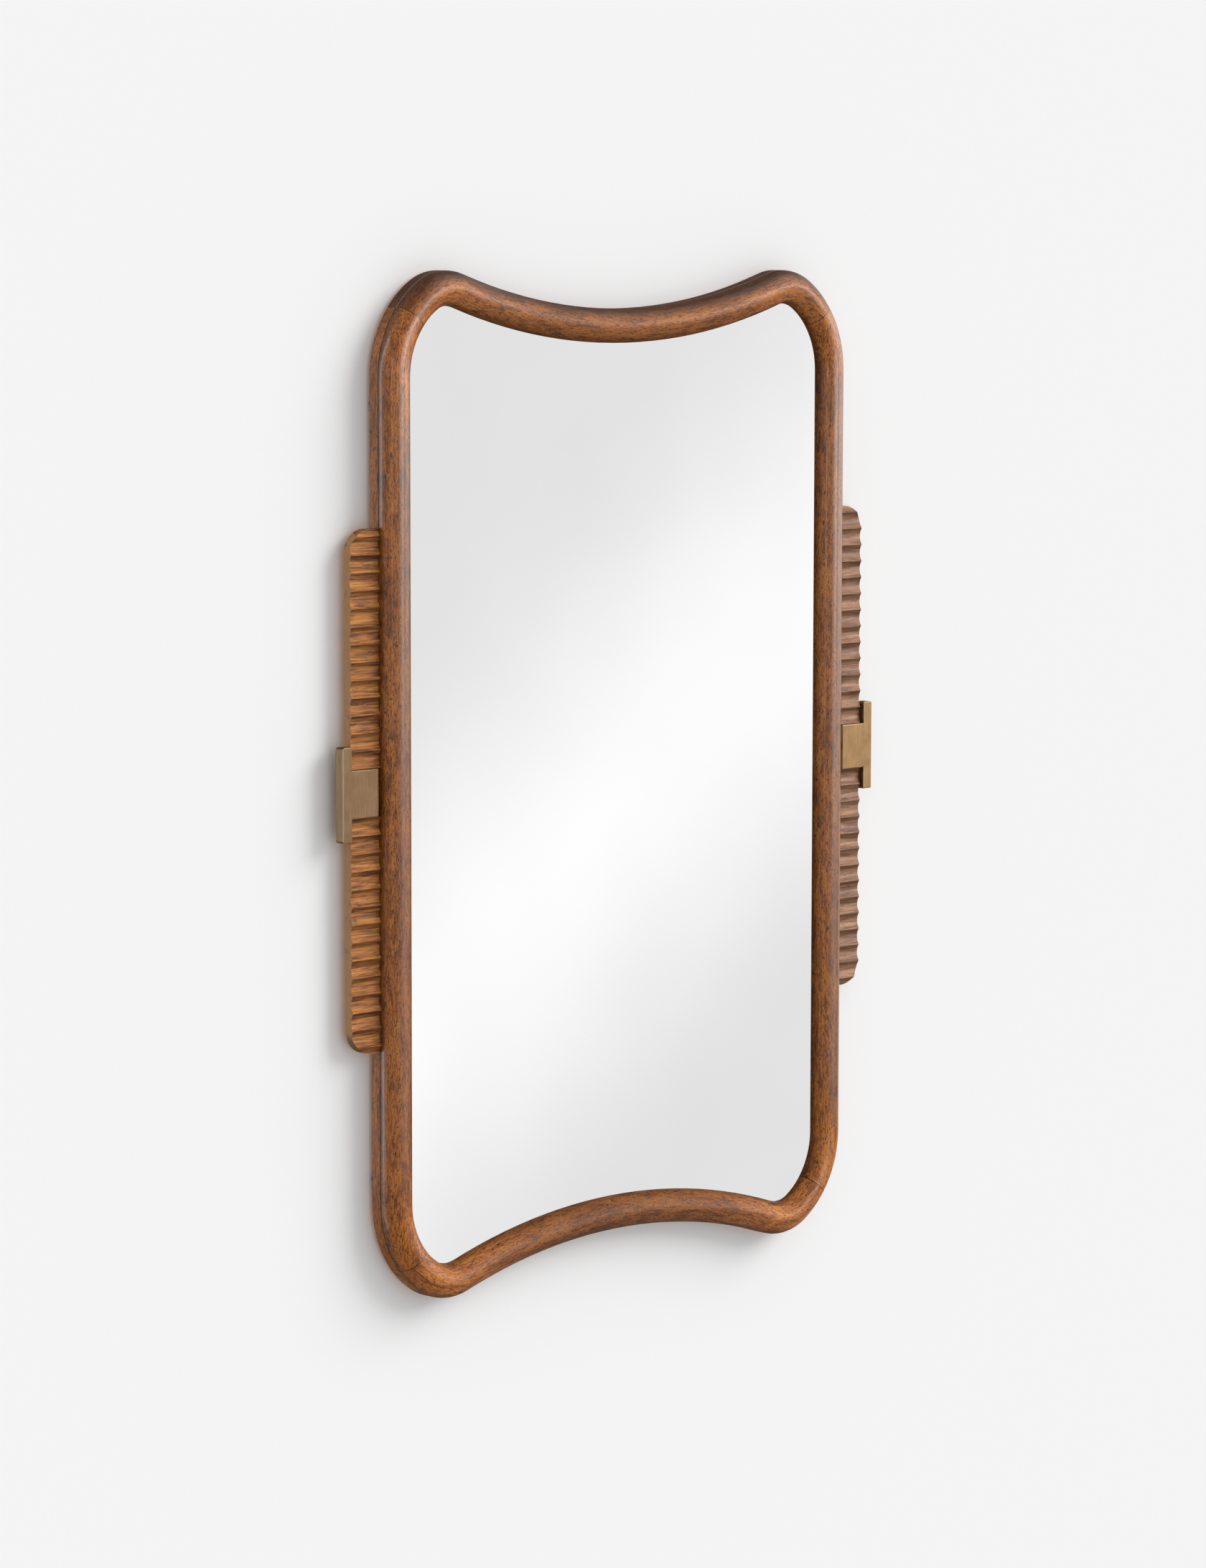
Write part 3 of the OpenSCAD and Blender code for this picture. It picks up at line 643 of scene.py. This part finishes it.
def wing_wood(name, place, browns, rough, coat):
    """Open, streaked hardwood with its grain across the wing, pale on faces that look sideways."""
    material, tree, skin = start_material(name)
    space, split = grain_space(tree, "X", 0, place)
    colour, streak, pore = stained_ground(tree, space, WING, browns)
    facing = add(tree, "SeparateXYZ", {0: add(tree, "NewGeometry").outputs["Normal"]})
    sideways = add(tree, "Math", {0: facing.outputs["X"]}, operation="ABSOLUTE").outputs[0]
    # Faces that look sideways are paler.
    pale_side = {0: sideways, 1: 0.5, 2: 0.8, 3: 0.0, 4: PALE_SIDE_SHARE}
    pale_side = add(tree, "MapRange", pale_side, interpolation_type=SOFT_STEP).outputs[0]
    colour = add(tree, "Mix", {0: pale_side, 6: colour, 7: PALE_SIDE}, data_type="RGBA").outputs[2]
    glaze = glaze_and_corner_shade(tree, space)[0]
    # Painted shade: the undersides of the flutes, which look down, are darkened.
    under = {0: facing.outputs["Z"], 1: -0.45, 2: -0.05, 3: UNDERSIDE_SHADE, 4: 0.0}
    under = add(tree, "MapRange", under, interpolation_type=SOFT_STEP).outputs[0]
    glaze = add(tree, "Math", {0: glaze, 1: under}, operation="MAXIMUM").outputs[0]
    # The dark brown goes on wherever glaze or painted shade lies.
    colour = add(tree, "Mix", {0: glaze, 6: colour, 7: GLAZE_AND_SHADE}, data_type="RGBA").outputs[2]
    lacquer(tree, skin, colour, streak, pore, rough)
    skin.inputs["Coat Weight"].default_value = coat
    return material


print("coat and glaze change", RAIL_FADE, "mm from a rail's middle and", STILE_FADE, "mm from a stile's")

# %% [markdown]
# Boards differ, so every member gets its own piece of the texture and its own share of glaze and
# coat. The wings are of a more open wood: the left one streaked and warm, the right one paler. The
# glass in the photograph mirrors only the studio and nothing of the frame, so three members that
# would show in it are left out of reflections, with the dowels inside them.

# %% Wood: dress the members
WARM = ("#7d4511", "#b5651f", "#c97c2c")
STREAKED = ("#683c17", "#ab672c", "#c9883e")
PALE = ("#71472a", "#956440", "#ad7f58")
members = {
    # On the stiles, heavy sets the painted shade on the crown and the right flank; on the rails, how much
    # darker the middle is.
    "left_stile": moulding_wood("stained_wood_left_stile", "Z", (0.0, 0.0, 0.0), WARM,
                                rough=0.36, coat=0.75, heavy=0.42, fade=STILE_FADE),
    "right_stile": moulding_wood("stained_wood_right_stile", "Z", (3.1, 0.4, 0.0), WARM,
                                 rough=0.36, coat=0.95, heavy=0.42, fade=STILE_FADE),
    "top_rail": moulding_wood("stained_wood_top_rail", "X", (1.7, 0.2, 0.0), WARM,
                              rough=0.40, coat=0.1, heavy=0.32, sweep=1),
    "bottom_rail": moulding_wood("stained_wood_bottom_rail", "X", (5.3, 0.6, 0.0), WARM,
                                 rough=0.46, coat=0.0, heavy=0.50, sweep=-1),
    "left_wing": wing_wood("stained_wood_left_wing", (7.1, 0.3, 0.0), STREAKED, rough=0.5, coat=0.0),
    "right_wing": wing_wood("stained_wood_right_wing", (9.4, 0.5, 0.0), PALE, rough=0.34, coat=0.2),
}
for name, material in members.items():
    dress(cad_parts[name], material)
for name in ("right_stile", "top_rail", "bottom_rail", "corner_dowels"):
    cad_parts[name].visible_glossy = False
print("wooden members", sorted(members))

# %% [markdown]
# ## The silvered glass
#
# A mirror is a pane of float glass with silver on its back. What the eye sees is metal: nearly all
# light comes back, and sharp. The glass in front adds a trace of green and a second, weak gleam,
# both too faint to show here. It could be built as a clear pane over a silver sheet, but one bright
# metal looks the same and renders without noise. Only its slight waviness is added.

# %% Mirror glass
WAVE_SIZE = mm(180)
WAVE_DEPTH = mm(0.02)
SILVER_ROUGHNESS = 0.015


def silvered_glass():
    """Float glass with a silver back: a bright metal with a trace of waviness."""
    material, tree, skin = start_material("silvered_float_glass")
    at = add(tree, "TexCoord").outputs["Object"]
    wave = add(tree, "TexNoise", {"Vector": at, "Scale": 1 / WAVE_SIZE, "Detail": 1.0}).outputs[0]
    bump = add(tree, "Bump", {"Height": wave, "Distance": WAVE_DEPTH, "Strength": 0.3}).outputs[0]
    tint = [(0.35, linear("#f2f2f2")), (0.65, linear("#f5f5f5"))]
    colour = add(tree, "ValToRGB", {0: wave}, stops=tint).outputs[0]
    tree.links.new(colour, skin.inputs["Base Color"])
    tree.links.new(bump, skin.inputs["Normal"])
    skin.inputs["Metallic"].default_value = 1.0
    skin.inputs["Roughness"].default_value = SILVER_ROUGHNESS
    return material


dress(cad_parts["mirror_glass"], silvered_glass())
print("waves of the glass are", round(1000 * WAVE_SIZE), "mm long")

# %% [markdown]
# ## Antique brass
#
# The brackets are milled brass, brushed along their height, then darkened and wiped, and closed
# with a clear lacquer. Brushing leaves fine upright lines, some brighter and some duller, so the
# metal's colour and its roughness both follow noise that is drawn out upright. Real brushing is
# finer than a tenth of a millimetre. It is drawn at half a millimetre here, so that it shows.
#
# The arrises, which are the narrow slopes between the front and the sides, are rubbed by handling
# and carry a painted highlight. The way that the surface faces tells them apart, and there the
# colour is lighter and the metal smoother. The front itself keeps its patina. The sides get a fifth
# of the lighter colour, which is painted light too. A bevel node eases the edges by half a
# millimetre, as the lacquer does.

# %% Brass
# Width, depth and length of the brushed lines in millimetres.
BRUSH = (0.5, 0.5, 30)
CLOUD_SIZE = mm(14)
WORN_AND_HIGHLIT = linear("#f6dcb4")
ARRIS_ROUGHNESS = 0.3
PATINA_ROUGHNESS = (0.36, 0.50)
SIDES_HIGHLIT = 0.2
BRUSH_DEPTH = mm(0.03)
EASED = mm(0.5)


def antique_brass(name, dark, middle, light):
    """Brass with upright brushing, a wiped patina between three browns, and a painted highlight on its worn
    arrises.
    """
    material, tree, skin = start_material(name)
    at = add(tree, "TexCoord").outputs["Object"]
    upright = Vector([1 / mm(size) for size in BRUSH])
    lines = add(tree, "VectorMath", {0: at, 1: upright}, operation="MULTIPLY").outputs[0]
    lines = add(tree, "TexNoise", {"Vector": lines, "Scale": 1.0, "Detail": 2.0}).outputs[0]
    cloud = add(tree, "TexNoise", {"Vector": at, "Scale": 1 / CLOUD_SIZE, "Detail": 3.0}).outputs[0]
    both = add(tree, "Math", {0: cloud, 1: 0.3}, operation="MULTIPLY").outputs[0]
    both = add(tree, "Math", {0: lines, 1: 0.7, 2: both}, operation="MULTIPLY_ADD").outputs[0]
    browns = [(0.36, linear(dark)), (0.50, linear(middle)), (0.64, linear(light))]
    colour = add(tree, "ValToRGB", {0: both}, stops=browns).outputs[0]
    dull = {0: lines, 1: NOISE_SPAN[0], 2: NOISE_SPAN[1], 3: PATINA_ROUGHNESS[0], 4: PATINA_ROUGHNESS[1]}
    dull = add(tree, "MapRange", dull).outputs[0]
    facing = add(tree, "SeparateXYZ", {0: add(tree, "NewGeometry").outputs["Normal"]}).outputs["Y"]
    facing = add(tree, "Math", {0: facing}, operation="ABSOLUTE").outputs[0]
    # Painted highlight: the arrises, and a fifth of it on the sides, get a lighter colour and a smoother metal.
    arris_highlight = {0: facing, 1: 0.15, 2: 0.45, 3: SIDES_HIGHLIT, 4: 1.0}
    arris_highlight = add(tree, "MapRange", arris_highlight, interpolation_type=SOFT_STEP).outputs[0]
    arris_highlight = add(tree, "MapRange", {0: facing, 1: 0.85, 2: 0.97, 3: arris_highlight, 4: 0.0}).outputs[0]
    colour = add(tree, "Mix", {0: arris_highlight, 6: colour, 7: WORN_AND_HIGHLIT}, data_type="RGBA").outputs[2]
    dull = add(tree, "Mix", {0: arris_highlight, 2: dull, 3: ARRIS_ROUGHNESS}, data_type="FLOAT").outputs[0]
    eased = add(tree, "Bevel", {"Radius": EASED}, samples=8).outputs[0]
    bump = {"Height": lines, "Distance": BRUSH_DEPTH, "Strength": 0.5, "Normal": eased}
    bump = add(tree, "Bump", bump).outputs[0]
    tree.links.new(colour, skin.inputs["Base Color"])
    tree.links.new(dull, skin.inputs["Roughness"])
    tree.links.new(bump, skin.inputs["Normal"])
    skin.inputs["Metallic"].default_value = 1.0
    return material


# The left bracket's browns are darker: painted shade and reflection, which stand for the dark stile beside it.
patina = {
    "left_bracket": antique_brass("brushed_antique_brass_left", "#6c563d", "#7d634a", "#8e7159"),
    "right_bracket": antique_brass("brushed_antique_brass_right", "#856747", "#977854", "#aa8860"),
}
for name, brass in patina.items():
    dress(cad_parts[name], brass)
print("brass on", sorted(patina))

# %% [markdown]
# ## The hidden side
#
# Behind the glass lie a hardboard sheet, zinc-plated screws, straps and rings, rubber bumpers and
# beech dowels. Each has one plain finish with its own small structure: pressed fibres, zinc
# crystals, the fine pores of cast rubber and the short flecks of beech. The sizes are in
# millimetres, and those of fibres, crystals and pores are drawn coarser than they are, to show.

# %% Finishes of the hidden pieces
GRAIN_DEPTH = mm(0.05)
DULL_PLAY = 0.06


def plain_finish(name, dark, light, size, rough, metallic=0.0):
    """A finish whose colour and surface vary over spots of one size, given in millimetres."""
    material, tree, skin = start_material(name)
    at = add(tree, "TexCoord").outputs["Object"]
    inverse = Vector([1 / mm(part) for part in size])
    spots = add(tree, "VectorMath", {0: at, 1: inverse}, operation="MULTIPLY").outputs[0]
    spots = add(tree, "TexNoise", {"Vector": spots, "Scale": 1.0, "Detail": 3.0}).outputs[0]
    tones = [(0.35, linear(dark)), (0.65, linear(light))]
    colour = add(tree, "ValToRGB", {0: spots}, stops=tones).outputs[0]
    dull = {0: spots, 1: NOISE_SPAN[0], 2: NOISE_SPAN[1], 3: rough - DULL_PLAY, 4: rough + DULL_PLAY}
    dull = add(tree, "MapRange", dull).outputs[0]
    bump = add(tree, "Bump", {"Height": spots, "Distance": GRAIN_DEPTH, "Strength": 0.5}).outputs[0]
    tree.links.new(colour, skin.inputs["Base Color"])
    tree.links.new(dull, skin.inputs["Roughness"])
    tree.links.new(bump, skin.inputs["Normal"])
    skin.inputs["Metallic"].default_value = metallic
    return material


hardboard = plain_finish("pressed_hardboard", "#6d4c33", "#8a6444", (2.5, 2.5, 2.5), 0.75)
zinc = plain_finish("zinc_plated_steel", "#a9adb0", "#c9ccce", (3, 3, 3), 0.32, metallic=1.0)
rubber = plain_finish("cast_black_rubber", "#1c1b1a", "#2a2927", (1, 1, 1), 0.8)
beech = plain_finish("bare_beech", "#c59c6b", "#dcb98a", (3, 1, 3), 0.6)
hidden = {
    "backing_board": hardboard, "board_screws": zinc, "bracket_screws": zinc, "hanger_screws": zinc,
    "left_hanger": zinc, "right_hanger": zinc, "left_ring": zinc, "right_ring": zinc,
    "wall_bumpers": rubber, "corner_dowels": beech, "wing_dowels": beech,
}
for name, material in hidden.items():
    dress(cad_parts[name], material)
print("hidden pieces", len(hidden))

# %% [markdown]
# ## The screws
#
# The construction holds every screw as a plain cone and rod. Real ones have a cross recess, which
# the driver turns, and it shows on the back. A bump texture could fake it, but would look flat from
# the side. So one screw of each size is modelled: a disc is drawn out into the countersunk head, the
# shank and the point, and a tapered cross is cut from it. It is then copied to the place of each
# plain one, turned a little further each time, as screws come to rest. Places and diameters are
# read from the plain screws, so nothing is typed twice.

# %% Screws: find the plain ones
SCREW_NODES = ("board_screws", "bracket_screws", "hanger_screws")
# Points that differ less than this in height lie on one flat face.
LEVEL = mm(0.01)
# Points that lie closer than this belong to one head.
APART = mm(8)


def alone():
    """Nothing selected, so that the next operator acts on new work only."""
    if bpy.context.mode != "OBJECT":
        bpy.ops.object.mode_set(mode="OBJECT")
    bpy.ops.object.select_all(action="DESELECT")


def plain_screws(node):
    """Centre of each head's top in a node of screws, with head and shank diameters and the length."""
    points = [v.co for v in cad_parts[node].data.vertices]
    high, low = max(p.y for p in points), min(p.y for p in points)
    heads = []
    for point in (p for p in points if p.y > high - LEVEL):
        near = [h for h in heads if (h[0] - point).length < APART]
        if near:
            near[0].append(point)
        else:
            heads.append([point])
    centres = []
    for rim in heads:
        middle = [(min(p[i] for p in rim) + max(p[i] for p in rim)) / 2 for i in range(3)]
        centres.append(Vector(middle))
    head_d = max(p.x for p in heads[0]) - min(p.x for p in heads[0])
    tips = [p for p in points if p.y < low + LEVEL and abs(p.x - centres[0].x) < head_d and
            abs(p.z - centres[0].z) < head_d]
    shank_d = max(p.x for p in tips) - min(p.x for p in tips)
    return centres, head_d, shank_d, high - low


for node in SCREW_NODES:
    centres, head_d, shank_d, length = plain_screws(node)
    print(node, len(centres), "heads", [round(1000 * v, 2) for v in (head_d, shank_d, length)], "mm")

# %% [markdown]
# The cutter for the recess starts as a small cube. Each of its four sides is drawn out to one arm
# of the cross, and the lower end is squeezed, so that the recess narrows inwards as the driver
# does. Faces are picked by the way that they point, and only near the middle, so that the sides of
# an arm are left alone.

# %% Screws: the cutter for the recess
RECESS_ARM = 0.62
RECESS_WIDTH = 0.17
RECESS_DEPTH = 0.8
RECESS_TAPER = 0.45
NEAR_MIDDLE = 0.6
ARMS = (Vector((1, 0, 0)), Vector((-1, 0, 0)), Vector((0, 0, 1)), Vector((0, 0, -1)))


def pick(mesh, wanted):
    """Selects the faces of a mesh that a test wants, and their corners."""
    corners = set()
    for face in mesh.polygons:
        face.select = wanted(face)
        if face.select:
            corners.update(face.vertices)
    for vertex in mesh.vertices:
        vertex.select = vertex.index in corners
    for edge in mesh.edges:
        edge.select = False


def cross_cutter(arm, width, depth):
    """A cross that narrows inwards, to cut the recess of a head whose top faces +Y."""
    alone()
    bpy.ops.mesh.primitive_cube_add(size=1, scale=(width, 2 * depth, width))
    cutter = bpy.context.object
    bpy.ops.object.transform_apply(scale=True)
    reach = (arm - width) / 2
    for way in ARMS:
        pick(cutter.data, lambda face: face.normal.dot(way) > 0.9 and face.center.length < NEAR_MIDDLE * width)
        bpy.ops.object.mode_set(mode="EDIT")
        bpy.ops.mesh.extrude_region_move(TRANSFORM_OT_translate={"value": tuple(reach * way)})
        bpy.ops.object.mode_set(mode="OBJECT")
    pick(cutter.data, lambda face: face.normal.y < -0.9)
    bpy.ops.object.mode_set(mode="EDIT")
    bpy.ops.transform.resize(value=(RECESS_TAPER, 1, RECESS_TAPER), center_override=(0, -depth, 0))
    bpy.ops.object.mode_set(mode="OBJECT")
    return cutter


print("the recess spans", RECESS_ARM, "of a head")

# %% [markdown]
# Now the screw itself. Its disc is drawn out three times: to the foot of the cone, along the shank,
# and to the point. The head's rim is eased before the cross is cut, so that the recess stays sharp.
# The point is 2.5 mm long, as on short wood screws, and its tip is left a little blunt.

# %% Screws: model one
POINT = mm(2.5)
POINT_SHARE = 0.12
AROUND = 28
RIM = mm(0.12)
RIM_ANGLE = math.radians(60)
SMOOTH_BELOW = math.radians(35)


def one_screw(head_d, shank_d, length):
    """A countersunk screw along -Y, with the top of its head at the origin."""
    cone = (head_d - shank_d) / 2
    alone()
    bpy.ops.mesh.primitive_circle_add(vertices=AROUND, radius=head_d / 2, fill_type="NGON",
                                      rotation=(math.radians(-90), 0, 0))
    screw = bpy.context.object
    bpy.ops.object.transform_apply(rotation=True)
    bpy.ops.object.mode_set(mode="EDIT")
    bpy.ops.mesh.select_all(action="SELECT")
    depth = 0
    for step, share in ((cone, shank_d / head_d), (length - cone - POINT, 1.0), (POINT, POINT_SHARE)):
        bpy.ops.mesh.extrude_region_move(TRANSFORM_OT_translate={"value": (0, -step, 0)})
        depth += step
        bpy.ops.transform.resize(value=(share, 1, share), center_override=(0, -depth, 0))
    bpy.ops.mesh.select_all(action="SELECT")
    bpy.ops.mesh.normals_make_consistent(inside=False)
    bpy.ops.object.mode_set(mode="OBJECT")
    rim = screw.modifiers.new("rim", "BEVEL")
    rim.width = RIM
    rim.segments = 2
    rim.limit_method = "ANGLE"
    rim.angle_limit = RIM_ANGLE
    bpy.ops.object.modifier_apply(modifier=rim.name)
    cutter = cross_cutter(RECESS_ARM * head_d, RECESS_WIDTH * head_d, RECESS_DEPTH * cone)
    alone()
    screw.select_set(True)
    bpy.context.view_layer.objects.active = screw
    cut = screw.modifiers.new("recess", "BOOLEAN")
    cut.operation = "DIFFERENCE"
    cut.object = cutter
    bpy.ops.object.modifier_apply(modifier=cut.name)
    bpy.data.objects.remove(cutter)
    bpy.ops.object.shade_smooth_by_angle(angle=SMOOTH_BELOW)
    return screw


print("a screw has", AROUND, "sides and a point of", round(1000 * POINT, 1), "mm")

# %% [markdown]
# Each copy gets a mesh of its own and is set with the turn of the one before it plus 37 degrees, so
# that no two neighbours line up. All screws of one size are then joined to one piece, which rides
# on the frame and stands for the plain screws of the construction.

# %% Screws: set them all
TURN_STEP = math.radians(37)

for node in SCREW_NODES:
    centres, head_d, shank_d, length = plain_screws(node)
    pattern = one_screw(head_d, shank_d, length)
    driven = []
    for number, centre in enumerate(sorted(centres, key=lambda c: (c.z, c.x))):
        screw = bpy.data.objects.new(node + "_driven", pattern.data.copy())
        scene.collection.objects.link(screw)
        screw.rotation_euler.y = number * TURN_STEP
        screw.location = centre
        driven.append(screw)
    bpy.data.objects.remove(pattern)
    alone()
    for screw in driven:
        screw.select_set(True)
    bpy.context.view_layer.objects.active = driven[0]
    bpy.ops.object.transform_apply(location=True, rotation=True)
    bpy.ops.object.join()
    piece = bpy.context.object
    piece.name = node.replace("screws", "cross_head_screws")
    dress(piece, zinc)
    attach(piece, "frame")
    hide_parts(node)
    print(piece.name, len(driven), "screws,", len(piece.data.polygons), "faces")

# %% [markdown]
# ## Done
#
# Last, the nodes that still have no material are listed.

# %% Finish
bare = [o.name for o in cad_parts.values() if not o.data.materials]
print("nodes without a material", bare)
